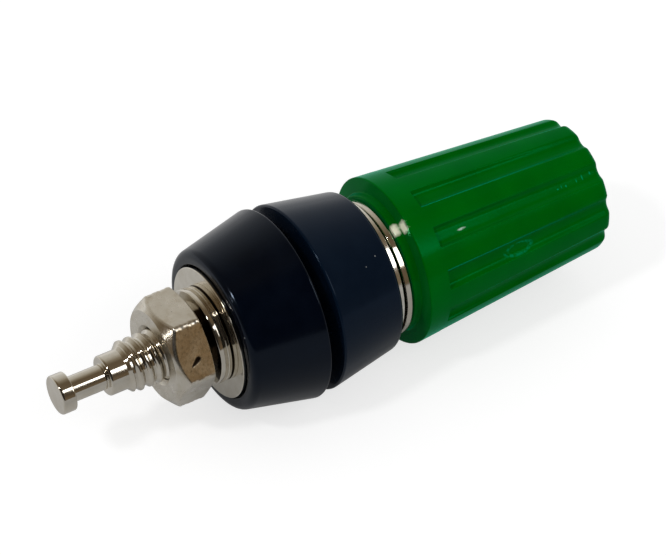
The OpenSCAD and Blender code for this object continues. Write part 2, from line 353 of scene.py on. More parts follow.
# %% Helpers for finishes
def millimetres(tree):
    """Surface point in the piece's own frame, in millimetres."""
    place = node(tree, "TexCoord").outputs["Object"]
    return node(tree, "VectorMath", {0: place, 1: (1 / MM,) * 3}, operation="MULTIPLY").outputs[0]


def finish(name):
    """New material, its node tree, its Principled shader, and the surface point in millimetres."""
    made = bpy.data.materials.new(name)
    made.use_nodes = True
    tree = made.node_tree
    tree.nodes.clear()
    shader = node(tree, "BsdfPrincipled")
    node(tree, "OutputMaterial", {"Surface": shader.outputs[0]})
    return made, tree, shader, millimetres(tree)


def noise(tree, point, scale, detail, roughness=0.5):
    """Cloudy value between 0 and 1, which is mostly near the middle."""
    sockets = {"Vector": point, "Scale": scale, "Detail": detail, "Roughness": roughness}
    return node(tree, "TexNoise", sockets).outputs[0]


MIX_FIRST, MIX_SECOND, MIX_COLOUR = 6, 7, 2


def blend(tree, share, first, second):
    """Colour between two colours, from the sockets of a Mix node that are meant for colours."""
    mixer = node(tree, "Mix", {"Factor": share}, data_type="RGBA")
    for socket, value in ((mixer.inputs[MIX_FIRST], first), (mixer.inputs[MIX_SECOND], second)):
        if isinstance(value, bpy.types.NodeSocket):
            tree.links.new(value, socket)
        else:
            socket.default_value = value
    return mixer.outputs[MIX_COLOUR]


def engrave(tree, shader, height, depth):
    """Bump on a shader, from a value between 0 and 1 and a depth in millimetres."""
    bump = node(tree, "Bump", {"Height": height, "Strength": 1.0, "Distance": depth * MM})
    tree.links.new(bump.outputs[0], shader.inputs["Normal"])


# %% [markdown]
# ## Nickel plate
# The metal is brass with bright nickel on it: a warm grey mirror that is not quite perfect. The tool left
# fine rings on it, and handling left a thin, uneven haze. One flat metal shader would look like chrome.
# Instead a noise that only knows the distance from the axis and the place along it draws the turning rings,
# and a second, cloudy one changes roughness and colour a little. The function is called once for each grade
# of plating. The first three are bright for the turret and its thread, polished for the flat washer, and a
# paler, duller one for the flange and the tube.

# %% Finish: nickel plate
LIGHT_NICKEL, DULL_NICKEL, PALE_NICKEL = (0.70, 0.66, 0.58, 1), (0.61, 0.56, 0.47, 1), (0.92, 0.89, 0.82, 1)


def nickel(name, rough_low, rough_high, ring_depth, light=LIGHT_NICKEL, dull=DULL_NICKEL):
    """Plated metal: cloudy haze for roughness and tint, and turning rings as a very shallow bump."""
    made, tree, shader, point = finish(name)
    shader.inputs["Metallic"].default_value = 1.0
    haze = noise(tree, point, scale=0.9, detail=6.0, roughness=0.62)
    tree.links.new(blend(tree, ramp(tree, haze, 0.35, 0.7), light, dull), shader.inputs["Base Color"])
    tree.links.new(ramp(tree, haze, 0.3, 0.7, rough_low, rough_high), shader.inputs["Roughness"])
    parts = node(tree, "SeparateXYZ", {0: point}).outputs
    flat = node(tree, "CombineXYZ", {"X": parts["X"], "Y": parts["Z"]}).outputs[0]
    off_axis = node(tree, "VectorMath", {0: flat}, operation="LENGTH").outputs["Value"]
    lathe = node(tree, "CombineXYZ", {"X": off_axis, "Y": parts["Y"]}).outputs[0]
    engrave(tree, shader, noise(tree, lathe, scale=9.0, detail=3.0), ring_depth)
    return made


bright_nickel = nickel("bright_nickel", rough_low=0.06, rough_high=0.13, ring_depth=0.0006)
polished_nickel = nickel("polished_nickel", rough_low=0.05, rough_high=0.10, ring_depth=0.0003)
pale_nickel = nickel("pale_nickel", 0.13, 0.20, 0.0003, light=PALE_NICKEL, dull=LIGHT_NICKEL)
print("finishes:", bright_nickel.name, polished_nickel.name, pale_nickel.name)

# %% [markdown]
# ## Stud, rear end
# Behind the panel the stud ends in a solder turret: a thin round head on a neck. Then come a plain step and
# the screw thread that carries the nut. The turret is a plain turned profile. The thread is a helix, so its
# radius depends on the height and on the angle at once: one grid of many fine rows holds both, and the
# crest simply moves up by one pitch for each turn.

# %% Radius of a thread
THREAD_CREST, THREAD_FLANK, THREAD_SOFT = 0.16, 0.62, 0.35


def step_up(value):
    """Smooth step from 0 to 1 while the value goes from 0 to 1."""
    held = np.clip(value, 0, 1)
    return held * held * (3 - 2 * held)


def thread(height, angle, pitch, outer, depth):
    """Radius of a right-hand screw thread: a wave with flat crests and roots, shifted by one pitch a turn."""
    phase = np.mod(height / pitch - angle / (2 * np.pi), 1)
    wave = np.clip((np.abs(2 * phase - 1) - THREAD_CREST) / THREAD_FLANK, 0, 1)
    return outer - depth * (THREAD_SOFT * step_up(wave) + (1 - THREAD_SOFT) * wave)


# %% Rear end of the stud
REAR_PITCH, REAR_DEPTH, REAR_R = 0.794, 0.24, 2.08
TIP, HEAD_BACK, NECK_END, STEP_END = -20.65, -19.55, -16.65, -15.15
THREAD_HIDDEN, REAR_STOP, HIDDEN_R = -10.4, -3.0, 2.0
HEAD_R, NECK_R, STEP_R = 1.55, 1.0, 1.6
THREAD_COLUMNS, REAR_ROW, LEAD_IN = 144, 0.022, 0.02

turret = rounded([
    (0, TIP, 0), (HEAD_R, TIP, 0.16), (HEAD_R, HEAD_BACK, 0.10), (NECK_R, HEAD_BACK, 0.08),
    (NECK_R, NECK_END, 0.08), (STEP_R, NECK_END, 0.17), (STEP_R, STEP_END, 0),
    (STEP_R + LEAD_IN, STEP_END + LEAD_IN, 0),
], False)
angle = np.linspace(0, 2 * np.pi, THREAD_COLUMNS, endpoint=False)[None]
wound = np.arange(STEP_END + 2 * LEAD_IN, THREAD_HIDDEN, REAR_ROW)[:, None]
lead = np.minimum(REAR_R, STEP_R + (wound - STEP_END))
screw = np.minimum(thread(wound, angle, REAR_PITCH, REAR_R, REAR_DEPTH), lead)
hidden = np.array([(HIDDEN_R, THREAD_HIDDEN), (HIDDEN_R, REAR_STOP), (0, REAR_STOP)])
radius, height = stacked(angle, np.split(turret, 2, 1), (screw, wound), np.split(hidden, 2, 1))
stud_rear = skin("stud_rear", radius, height, angle, False)
stud_rear.data.materials.append(bright_nickel)
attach(stud_rear, "post")
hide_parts("stud")

# %% [markdown]
# ## Stud, front end
# In front of the panel the same stud carries a thin flange, and then a threaded tube: a plug slides into
# its bore and a bare wire passes through its cross hole once the knob is unscrewed. The tube is another
# grid with a thread. A hole across a grid can't be written as one radius, so the hole is drilled by a
# Boolean with a round cutter, and the result is kept as a plain mesh.

# %% Front end of the stud
FRONT_PITCH, FRONT_DEPTH, TUBE_R = 0.907, 0.42, 3.175
FRONT_LEN, FLANGE_TOP, TUBE_END, BORE_END = 6.0, 6.65, 25.0, 6.7
SHANK_R, FLANGE_R, BORE_R, WIRE_R, WIRE_H = 2.8, 5.65, 2.05, 1.1, 8.45
DRILL_POINT, RUN_OUT, MOUTH_CHAMFER, FRONT_ROW = 1.23, 0.3, 0.3, 0.04
ROOT_R = TUBE_R - FRONT_DEPTH

low = rounded([
    (0, REAR_STOP, 0), (SHANK_R, REAR_STOP, 0.1), (SHANK_R, FRONT_LEN, 0.05), (FLANGE_R, FRONT_LEN, 0.05),
    (FLANGE_R, FLANGE_TOP, 0.04), (ROOT_R, FLANGE_TOP, 0.1), (ROOT_R, FLANGE_TOP + RUN_OUT, 0),
], False)
wound = np.arange(FLANGE_TOP + RUN_OUT + FRONT_ROW / 2, TUBE_END - FRONT_ROW / 2, FRONT_ROW)[:, None]
lead = ROOT_R + np.minimum(FRONT_DEPTH, np.minimum(wound - FLANGE_TOP - RUN_OUT, TUBE_END - wound))
screw = np.minimum(thread(wound, angle, FRONT_PITCH, TUBE_R, FRONT_DEPTH), lead)
mouth = rounded([
    (ROOT_R, TUBE_END, 0), (BORE_R + MOUTH_CHAMFER, TUBE_END, 0.05), (BORE_R, TUBE_END - MOUTH_CHAMFER, 0.1),
    (BORE_R, BORE_END, 0), (0, BORE_END - DRILL_POINT, 0),
], False)
radius, height = stacked(angle, np.split(low, 2, 1), (screw, wound), np.split(mouth, 2, 1))
stud_front = skin("stud_front", radius, height, angle, False)

# %% Drill the wire hole
DRILL_COLUMNS, DRILL_HALF = 64, 5.0

around = np.linspace(0, 2 * np.pi, DRILL_COLUMNS, endpoint=False)
ring = np.stack([np.zeros(DRILL_COLUMNS), WIRE_R * np.cos(around) - WIRE_H, WIRE_R * np.sin(around)], 1)
drill_points = np.concatenate([ring + (-DRILL_HALF, 0, 0), ring + (DRILL_HALF, 0, 0)]) * MM
near = np.arange(DRILL_COLUMNS)
far = near + DRILL_COLUMNS
walls = np.stack([near, np.roll(near, -1), np.roll(far, -1), far], 1)
drill_mesh = bpy.data.meshes.new("drill")
drill_mesh.from_pydata(drill_points.tolist(), [], walls.tolist() + [near[::-1].tolist(), far.tolist()])
drill = bpy.data.objects.new("drill", drill_mesh)
bpy.context.scene.collection.objects.link(drill)
cut = stud_front.modifiers.new("wire_hole", "BOOLEAN")
cut.operation, cut.solver, cut.object = "DIFFERENCE", "EXACT", drill
drilled = bpy.data.meshes.new_from_object(stud_front.evaluated_get(bpy.context.evaluated_depsgraph_get()))
stud_front.modifiers.clear()
stud_front.data = drilled
drilled.name = "stud_front"
drilled.set_sharp_from_angle(angle=SMOOTH_ANGLE)
bpy.data.objects.remove(drill)
stud_front.data.materials.clear()
stud_front.data.materials.append(pale_nickel)
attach(stud_front, "post")
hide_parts("stud")
print("stud_front drilled:", len(drilled.polygons), "faces")

# %% [markdown]
# ## Hexagon nut
# The nut was cut from hexagonal bar and chamfered on the lathe, which leaves the curved edges on its flats.
# Towards the lock washer it drops steeply to a round boss. It could be a cylinder of six sides with two
# Boolean cones. As a function it is the smallest of three radii at each angle and height: the hexagon, and
# a cone from either end. A soft minimum in place of a hard one rounds every edge between them, as plating
# and tumbling do. The corners are worn unevenly, so two waves along the height change how much they are
# rounded.

# %% Nut shape
NUT_BACK, NUT_FRONT, NUT_WIDTH, NUT_TURN = -12.3, -8.6, 7.9, 58.0
NUT_REAR_R, NUT_REAR_RISE, NUT_FLAT_END, NUT_FRONT_RISE, NUT_BOSS_R = 3.67, 1.11, -9.24, 3.08, 2.9
NUT_FLATS, NUT_COLUMNS, LEAST_FACING = 6, 480, 0.3
NUT_REAR_BLUR, NUT_FRONT_BLUR = 0.18, 0.32
NUT_REAR_BAND, NUT_FRONT_BAND_LOW, NUT_FRONT_BAND_HIGH, NUT_BOSS_ROW = 0.95, 0.28, 0.40, 0.1
NUT_REAR_ROWS, NUT_FLAT_ROWS, NUT_FRONT_ROWS, NUT_CROWDED = 40, 26, 48, 1.2
CORNER_WORN, CORNER_WAVES = 0.26, ((0.07, 6.1, 0.5), (0.05, 17.0, 0.0))


def soft_least(first, second, blur):
    """Soft minimum: where two radii are closer than blur, the lesser is rounded off by a parabola."""
    near = np.maximum(blur - np.abs(first - second), 0) / blur
    return np.minimum(first, second) - near * near * blur / 4


nut_angle = np.linspace(0, 2 * np.pi, NUT_COLUMNS, endpoint=False)[None]
side = np.concatenate([
    NUT_BACK + NUT_REAR_BAND * np.linspace(0, 1, NUT_REAR_ROWS) ** NUT_CROWDED,
    np.linspace(NUT_BACK + NUT_REAR_BAND, NUT_FLAT_END - NUT_FRONT_BAND_LOW, NUT_FLAT_ROWS)[1:-1],
    np.linspace(NUT_FLAT_END - NUT_FRONT_BAND_LOW, NUT_FLAT_END + NUT_FRONT_BAND_HIGH, NUT_FRONT_ROWS),
    [NUT_FRONT - NUT_BOSS_ROW, NUT_FRONT],
])[:, None]
to_flats = np.radians(NUT_TURN + 360 / NUT_FLATS * (np.arange(NUT_FLATS) + 0.5))[:, None, None]
faces = np.sort(NUT_WIDTH / 2 / np.maximum(np.cos(nut_angle[None] - to_flats), LEAST_FACING), 0)
worn = CORNER_WORN + sum(size * np.sin(rate * side + start) for size, rate, start in CORNER_WAVES)
hexagon = soft_least(faces[0], faces[1], worn)
rear_chamfer = NUT_REAR_R + NUT_REAR_RISE * (side - NUT_BACK)
front_chamfer = np.maximum(NUT_WIDTH / 2 + NUT_FRONT_RISE * (NUT_FLAT_END - side), NUT_BOSS_R)
nut_radius = soft_least(soft_least(hexagon, rear_chamfer, NUT_REAR_BLUR), front_chamfer, NUT_FRONT_BLUR)
over_corners = round(2 * nut_radius.max(), 2)
print("nut", NUT_WIDTH, "mm across its flats and", over_corners, "mm across its worn corners")

# %% [markdown]
# A small nick on the flat that faces the camera is a dent in the same grid: a bell curve across it and a
# flatter one along it, turned by an angle and wider at one end. Then the countersunk bore closes the
# profile.

# %% Nick and bore
NICK_AT, NICK_H, NICK_LONG, NICK_WIDE, NICK_DEEP, NICK_TILT = 0.74, -10.70, 0.46, 0.11, 0.03, 34.0
NICK_FLARE, NICK_LEAST, NICK_MOST = 0.7, 0.2, 1.6
NUT_BORE_R, NUT_SINK, NUT_ROUND, NUT_INSET = 2.12, 0.34, 0.05, 0.02
MARKED_FLAT = NUT_TURN + 360 / NUT_FLATS * 1.5

flat_angle = nut_angle - np.radians(MARKED_FLAT)
along = nut_radius * np.sin(flat_angle) - NICK_AT
tilt = np.radians(NICK_TILT)
lengthwise = -along * np.sin(tilt) + (side - NICK_H) * np.cos(tilt)
crosswise = along * np.cos(tilt) + (side - NICK_H) * np.sin(tilt)
half_wide = NICK_WIDE * np.clip(1 + NICK_FLARE * lengthwise / NICK_LONG, NICK_LEAST, NICK_MOST)
dent = np.exp(-(lengthwise / NICK_LONG) ** 4 - (crosswise / half_wide) ** 2) * (np.cos(flat_angle) > 0)
sink = rounded([
    (NUT_BOSS_R - NUT_INSET, NUT_FRONT, 0), (NUT_BORE_R + NUT_SINK, NUT_FRONT, NUT_ROUND),
    (NUT_BORE_R, NUT_FRONT - NUT_SINK, NUT_ROUND), (NUT_BORE_R, NUT_BACK + NUT_SINK, NUT_ROUND),
    (NUT_BORE_R + NUT_SINK, NUT_BACK, NUT_ROUND), (NUT_REAR_R - NUT_INSET, NUT_BACK, 0),
], False)
radius, height = stacked(nut_angle, (nut_radius - NICK_DEEP * dent, side), np.split(sink, 2, 1))
hex_nut = skin("plated_nut", radius, height, nut_angle, True)
print("nut", round(NUT_FRONT - NUT_BACK, 2), "mm thick, nick", NICK_DEEP, "mm deep")

# %% [markdown]
# The finish has to know where three things are. Painted shade darkens the nick and, on the camera's side,
# the groove next to the lock washer. A mottled painted brown reflection covers the flat with the nick. The
# rear chamfer was turned, so it is smoother than the flats. Vertex paint could hold them. Here each is a
# share from 0 to 1 for every point of the grid, worked out from the same radii and kept as an attribute.

# %% Marks on the nut's points
MARK_FADE = 0.12
GROOVE_TOWARDS, GROOVE_SOFT = 160.0, 0.3
# Width and soft edge of the painted brown reflection on the flat that faces the camera.
REFLECTION_HALF, REFLECTION_SOFT = 28.5, 0.02


def mark_points(mesh, name, share):
    """Attribute with a share for each point: that of the rows given, and 0 on the rows that follow them."""
    values = np.zeros(len(mesh.vertices), np.float32)
    values[:share.size] = share.ravel()
    mesh.attributes.new(name, "FLOAT", "POINT").data.foreach_set("value", values)


# Painted shade in the groove next to the lock washer, only on the camera's side.
shaded_groove = np.clip((hexagon - front_chamfer) / MARK_FADE + 0.5, 0, 1)
shaded_groove = shaded_groove * np.clip(np.cos(nut_angle - np.radians(GROOVE_TOWARDS)) / GROOVE_SOFT - 1, 0, 1)
on_flats = np.clip((rear_chamfer - hexagon) / MARK_FADE, 0, 1)
on_one = np.clip((np.cos(flat_angle) - np.cos(np.radians(REFLECTION_HALF))) / REFLECTION_SOFT, 0, 1)
# Painted shade in the nick and the groove, then the painted brown reflection on the flat facing the camera.
mark_points(hex_nut.data, "painted_shade", np.maximum(dent, shaded_groove))
mark_points(hex_nut.data, "painted_reflection", on_flats * on_one)
mark_points(hex_nut.data, "turned", np.clip((hexagon - rear_chamfer) / MARK_FADE, 0, 1))

# %% [markdown]
# The nut's plating is duller and dirtier than the stud's. The finish is the same nickel, less smooth, with
# a few brown stains, a mottled painted brown reflection on one flat, a scatter of small dark pits, a
# smoother chamfer and painted shade. The painted reflection, the chamfer and the painted shade are where
# their attributes say.

# %% Finish: stained nickel
# The second colour darkens the small pits and is also the colour of the painted shade.
STAIN, PITS_AND_SHADE = (0.52, 0.45, 0.34, 1), (0.030, 0.020, 0.012, 1)
# Light and brown colours of the mottled painted reflection on that flat.
REFLECTION_LIGHT, REFLECTION_BROWN = (1.0, 0.82, 0.56, 1), (0.70, 0.54, 0.32, 1)
REFLECTION_SMOOTHER, TURNED_SMOOTHER = 0.10, 0.13
SHADE_FROM, SHADE_FULL = 0.05, 0.30


def attribute(tree, name):
    """Share that a mesh keeps under a name."""
    return node(tree, "Attribute", attribute_name=name).outputs["Fac"]


def shader_of(made):
    """Principled shader of a material."""
    return next(n for n in made.node_tree.nodes if n.type == "BSDF_PRINCIPLED")


def add_painted_shade(made):
    """Lays painted shade over a finish's colour, where the attribute says that there is some."""
    tree, colour_in = made.node_tree, shader_of(made).inputs["Base Color"]
    amount = ramp(tree, attribute(tree, "painted_shade"), SHADE_FROM, SHADE_FULL)
    tree.links.new(blend(tree, amount, colour_in.links[0].from_socket, PITS_AND_SHADE), colour_in)


stained_nickel = nickel("stained_nickel", rough_low=0.24, rough_high=0.36, ring_depth=0.001)
tree, shader = stained_nickel.node_tree, shader_of(stained_nickel)
colour_in, rough_in = shader.inputs["Base Color"], shader.inputs["Roughness"]
point = millimetres(tree)
cloud = noise(tree, point, scale=0.8, detail=7.0, roughness=0.7)
spots = noise(tree, point, scale=4.5, detail=4.0, roughness=0.6)
painted_reflection = attribute(tree, "painted_reflection")
coloured = blend(tree, ramp(tree, cloud, 0.50, 0.68, 0.0, 0.7), colour_in.links[0].from_socket, STAIN)
# Mottled painted brown reflection, laid on the flat that faces the camera.
reflection_share = work_out(tree, "MULTIPLY", painted_reflection, ramp(tree, cloud, 0.30, 0.60, 0.72, 1.0))
coloured = blend(tree, reflection_share, coloured, blend(tree, ramp(tree, spots, 0.43, 0.70), REFLECTION_LIGHT, REFLECTION_BROWN))
coloured = blend(tree, ramp(tree, spots, 0.64, 0.74, 0.0, 0.6), coloured, PITS_AND_SHADE)
tree.links.new(coloured, colour_in)
rough = work_out(tree, "MULTIPLY_ADD", painted_reflection, -REFLECTION_SMOOTHER, rough_in.links[0].from_socket)
rough = work_out(tree, "MULTIPLY_ADD", attribute(tree, "turned"), -TURNED_SMOOTHER, rough)
tree.links.new(rough, rough_in)
add_painted_shade(stained_nickel)
hex_nut.data.materials.append(stained_nickel)
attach(hex_nut, "post")
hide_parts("hex_nut")
print("finish:", stained_nickel.name)

# %% [markdown]
# ## Lock washer
# Under the nut sits a spring washer: a ring of hard wire, cut once at a slant. From the nut on, its rim
# shows a broad crowned band, a fine groove, a narrow band, and a chamfer darkened by painted shade. It is a
# closed profile carried nearly all the way round, and each end is closed with one face. The slant of the
# cut moves every point of the profile round the axis in step with its height. The rim is listed as insets,
# heights and rounds.

# %% Lock washer
LOCK_BACK, LOCK_FRONT, LOCK_R, LOCK_BORE = -8.6, -7.55, 3.9, 2.22
LOCK_GAP, LOCK_SLANT, LOCK_ROUND, LOCK_COLUMNS = 0.5, 0.577, 0.1, 181
LOCK_CHAMFER, SHADE_FADE, SHADE_WIDE = 0.93, 0.04, 0.5
LOCK_RIM = [
    (0.02, 0.0, 0.12), (0.0, 0.34, 0.6), (0.015, 0.62, 0.05), (0.07, 0.66, 0.02), (0.02, 0.71, 0.03),
    (0.04, LOCK_CHAMFER, 0.04), (0.16, LOCK_FRONT - LOCK_BACK, 0.04),
]

rim = [(LOCK_R - inset, LOCK_BACK + rise, size) for inset, rise, size in LOCK_RIM]
path = rounded([(LOCK_BORE, LOCK_BACK, LOCK_ROUND), *rim, (LOCK_BORE, LOCK_FRONT, LOCK_ROUND)], True)
half_gap = LOCK_GAP / 2 / LOCK_R
sweep = np.linspace(half_gap, 2 * np.pi - half_gap, LOCK_COLUMNS)[None]
slant = -(path[:, 1:] - (LOCK_BACK + LOCK_FRONT) / 2) * LOCK_SLANT / path[:, :1]
radius, height = stacked(sweep, np.split(path, 2, 1))
points = place_on_axis(radius, height, sweep + slant).reshape(-1, 3)
index = np.arange(radius.size).reshape(radius.shape)
ends = [index[:, 0].tolist(), index[::-1, -1].tolist()]
lock_mesh = bpy.data.meshes.new("spring_ring")
lock_mesh.from_pydata(points.tolist(), [], grid_faces(np.vstack([index, index[:1]])).tolist() + ends)
lock_mesh.set_sharp_from_angle(angle=SMOOTH_ANGLE)
# Painted shade on the outer part of the chamfer, next to the flat washer.
on_chamfer = np.clip((height - LOCK_BACK - LOCK_CHAMFER) / SHADE_FADE, 0, 1)
mark_points(lock_mesh, "painted_shade", on_chamfer * (radius > LOCK_R - SHADE_WIDE))
spring_nickel = nickel("spring_nickel", rough_low=0.05, rough_high=0.10, ring_depth=0.0003)
add_painted_shade(spring_nickel)
lock_washer = bpy.data.objects.new("spring_ring", lock_mesh)
bpy.context.scene.collection.objects.link(lock_washer)
lock_mesh.materials.append(spring_nickel)
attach(lock_washer, "post")
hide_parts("lock_washer")
print("lock_washer", len(lock_mesh.polygons), "faces, gap", LOCK_GAP, "mm")

# %% [markdown]
# ## Flat washer and clamp washer
# The flat washer lies in the recess of the rear cone and spreads the nut's force. The clamp washer sits
# under the knob and presses the wire against the flange. Both are rings with rolled edges, so a closed
# profile with rounds is all that they need. The clamp washer is loose on the sleeve that carries it and
# hangs down by most of its play, as the photograph shows, so its points are moved down together.

# %% Washers
FLAT_BACK, FLAT_FRONT, FLAT_R, FLAT_BORE = -7.55, -6.65, 5.325, 2.22
CLAMP_LOW, CLAMP_TOP, CLAMP_R, CLAMP_BORE, CLAMP_LIP = 6.89, 7.45, 5.65, 5.075, 4.525
CLAMP_STEP, CLAMP_BEVEL, CLAMP_DROP = 7.25, 0.06, 0.25

flat_washer = turned("plain_ring", [
    (FLAT_BORE, FLAT_BACK, 0.06), (FLAT_R, FLAT_BACK, 0.06), (FLAT_R, FLAT_FRONT, 0.05),
    (FLAT_BORE, FLAT_FRONT, 0.05),
], True)
clamp_washer = turned("clamp_ring", [
    (CLAMP_BORE, CLAMP_LOW, 0.05), (CLAMP_R - CLAMP_BEVEL, CLAMP_LOW, 0.03),
    (CLAMP_R, CLAMP_LOW + CLAMP_BEVEL, 0.03), (CLAMP_R, CLAMP_TOP, 0.12), (CLAMP_LIP, CLAMP_TOP, 0.05),
    (CLAMP_LIP, CLAMP_STEP, 0.03), (CLAMP_BORE, CLAMP_STEP, 0.03),
], True)
clamp_washer.data.transform(Matrix.Translation((0, 0, -CLAMP_DROP * MM)))
clamp_nickel = nickel("clamp_nickel", rough_low=0.07, rough_high=0.12, ring_depth=0.0004)
for washer, metal, body, cad_name in (
    (flat_washer, polished_nickel, "post", "flat_washer"),
    (clamp_washer, clamp_nickel, "clamp", "clamp_washer"),
):
    washer.data.materials.append(metal)
    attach(washer, body)
    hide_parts(cad_name)

# %% [markdown]
# ## Black plastic
# The two cones are moulded in a blue-black plastic with a bluish gloss. The front one gets a lighter, bluer
# colour than the rear one, and each its own gloss tint: painted light, for the brighter reflection on the
# front cone. What makes it look moulded is a very fine unevenness under the gloss, and what makes it look
# used is dust: a few specks that a person would brush off. Each mark is the part of the surface inside a
# small ellipsoid round a known point, given as radius, angle, height and half sizes. A noise could scatter
# them, but then they would not be where the real ones are.

# %% Places of marks
SPECK_OUTER, SPECK_INNER = 1.3, 0.7


def reach(tree, point, off_axis, degrees, height, size, boxy=False):
    """Distance from (r cos a, -h, r sin a) in half sizes outward, along and around: 1 is the ellipsoid.

    A boxy one squares each part first, which turns the ellipsoid into a box with round edges.
    """
    turn = np.radians(degrees)
    middle = (off_axis * np.cos(turn), -height, off_axis * np.sin(turn))
    frame_there = {"Vector": point, "Location": middle, "Rotation": (0, -turn, 0), "Scale": size}
    local = node(tree, "Mapping", frame_there, vector_type="TEXTURE").outputs[0]
    if boxy:
        local = node(tree, "VectorMath", {0: local, 1: local}, operation="MULTIPLY").outputs[0]
    return node(tree, "VectorMath", {0: local}, operation="LENGTH").outputs["Value"]


def speck(tree, point, *place):
    """Mark that fades from 1 to 0 across the ellipsoid's surface."""
    return ramp(tree, reach(tree, point, *place), SPECK_OUTER, SPECK_INNER)


# %% Finish: black plastic
DUST = (0.20, 0.21, 0.21, 1)
FRONT_SPECKS = [(6.82, 128.8, 4.73, (0.055,) * 3), (7.01, 133.1, 3.62, (0.045,) * 3)]
REAR_SPECKS = [(6.12, 146.6, -7.2, (0.08,) * 3), (7.80, 145.7, -1.24, (0.05,) * 3)]
# Front tones lighter and bluer than the rear ones: painted light for the front cone's brighter reflection.
FRONT_TONES, FRONT_GLOSS = ((0.0017, 0.0056, 0.0140, 1), (0.0023, 0.0070, 0.0165, 1)), (0.55, 0.72, 0.95, 1)
REAR_TONES, REAR_GLOSS = ((0.0006, 0.0016, 0.0046, 1), (0.0011, 0.0026, 0.0068, 1)), (0.85, 1.05, 1.35, 1)
BLACK_SHINE, BLACK_ROUGH_LOW, BLACK_ROUGH_HIGH, BLACK_GRAIN = 0.19, 0.12, 0.20, 0.0015


def black_plastic(name, tones, gloss, specks):
    """Glossy moulded black: clouds between two tones, dust specks, and a grain.

    The grain is a bump of one or two thousandths of a millimetre.
    """
    made, tree, shader, point = finish(name)
    shader.inputs["Specular IOR Level"].default_value = BLACK_SHINE
    shader.inputs["Specular Tint"].default_value = gloss
    cloud = noise(tree, point, scale=0.5, detail=5.0)
    coloured = blend(tree, ramp(tree, cloud, 0.35, 0.7), *tones)
    for place in specks:
        coloured = blend(tree, speck(tree, point, *place), coloured, DUST)
    tree.links.new(coloured, shader.inputs["Base Color"])
    rough = ramp(tree, cloud, 0.3, 0.75, BLACK_ROUGH_LOW, BLACK_ROUGH_HIGH)
    tree.links.new(rough, shader.inputs["Roughness"])
    engrave(tree, shader, noise(tree, point, scale=5.0, detail=3.0), BLACK_GRAIN)
    return made


front_black = black_plastic("front_black", FRONT_TONES, FRONT_GLOSS, FRONT_SPECKS)
rear_black = black_plastic("rear_black", REAR_TONES, REAR_GLOSS, REAR_SPECKS)
print("finishes:", front_black.name, rear_black.name)

# %% [markdown]
# ## Insulating cones
# The cones clamp the panel between them, and the dark slot is where the panel goes. Each is one closed
# turned profile. The rear one has a well rounded rear rim and a recess for the washer. The front one has a
# spigot that fills the panel hole and runs into the rear one.

# %% Cones
SPIGOT_R, SPIGOT_END, SPIGOT_GAP, SLOT_BACK, REAR_BACK = 4.75, -3.0, 0.12, -1.2, -7.3
REAR_SMALL, REAR_BIG, RECESS_R, HOLE_R = 6.445, 7.81, 5.445, 2.2
FRONT_BIG, FRONT_SMALL, SHANK_HOLE = 7.65, 6.60, 2.92
CONE_COLUMNS = 256

rear_insulator = turned("rear_cone", [
    (HOLE_R, FLAT_FRONT, 0.03), (RECESS_R, FLAT_FRONT, 0.05), (RECESS_R, REAR_BACK, 0.12),
    (REAR_SMALL, REAR_BACK, 0.66), (REAR_BIG, SLOT_BACK, 0.16), (SPIGOT_R + SPIGOT_GAP, SLOT_BACK, 0.05),
    (SPIGOT_R + SPIGOT_GAP, SPIGOT_END, 0.05), (HOLE_R, SPIGOT_END, 0.03),
], True, CONE_COLUMNS)
front_insulator = turned("front_cone", [
    (SHANK_HOLE, SPIGOT_END, 0.05), (SPIGOT_R, SPIGOT_END, 0.1), (SPIGOT_R, 0, 0.05), (FRONT_BIG, 0, 0.16),
    (FRONT_SMALL, FRONT_LEN, 0.4), (SHANK_HOLE, FRONT_LEN, 0.05),
], True, CONE_COLUMNS)
for cone_piece, plastic, cad_name in (
    (rear_insulator, rear_black, "rear_insulator"), (front_insulator, front_black, "front_insulator"),
):
    cone_piece.data.materials.append(plastic)
    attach(cone_piece, "post")
    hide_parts(cad_name)

# %% [markdown]
# ## Green plastic
# The knob is a deep green thermoplastic, glossy but worn a little dull by fingers. Its green is so strong
# that even the light on its sides looks teal and not white. A plain white gloss would grey it, so the gloss
# is faint and tinted green, and a teal sheen brightens the sides. Clouds in the colour and fine streaks
# along the knob in the roughness keep it from looking like paint on a computer.

# %% Finish: green plastic
DEEP_GREEN, PALE_GREEN = (0.0, 0.094, 0.0002, 1), (0.0, 0.112, 0.0006, 1)
GREEN_SURFACE = {
    "Specular IOR Level": 0.012, "Specular Tint": (0.0, 25.0, 9.0, 1.0),
    "Sheen Weight": 0.55, "Sheen Roughness": 0.33, "Sheen Tint": (0.0, 1.0, 0.62, 1.0),
}
STREAK_STRETCH, GREEN_GRAIN = (2.2, 0.16, 2.2), 0.003

green_plastic, tree, shader, point = finish("green_plastic")
for socket, value in GREEN_SURFACE.items():
    shader.inputs[socket].default_value = value
cloud = noise(tree, point, scale=0.35, detail=5.0)
deep = blend(tree, ramp(tree, cloud, 0.35, 0.7), DEEP_GREEN, PALE_GREEN)
long_way = node(tree, "VectorMath", {0: point, 1: STREAK_STRETCH}, operation="MULTIPLY").outputs[0]
streaks = noise(tree, long_way, scale=1.0, detail=4.0)
grain = noise(tree, point, scale=3.0, detail=4.0)
engrave(tree, shader, grain, GREEN_GRAIN)

# %% [markdown]
# The knob has been used. One flute has an oval scuff, where something rubbed it. The flute beside it has a
# row of fine scratches near its front end, painted as bright glints, and a pale painted glint near its
# beginning. Two cream patches on the collar are painted highlights. Each is found with the same ellipsoid
# as the dust above: the scuff is a broken line where the distance is close to 1.

# %% Marks on the green
SCUFF = (6.3, 165.0, 17.10, (1.5, 1.25, 0.44))
# Pale painted glint near the beginning of the flute at 133 degrees.
PALE_GLINT = (6.26, 133.6, 12.62, (0.25, 0.36, 0.09))
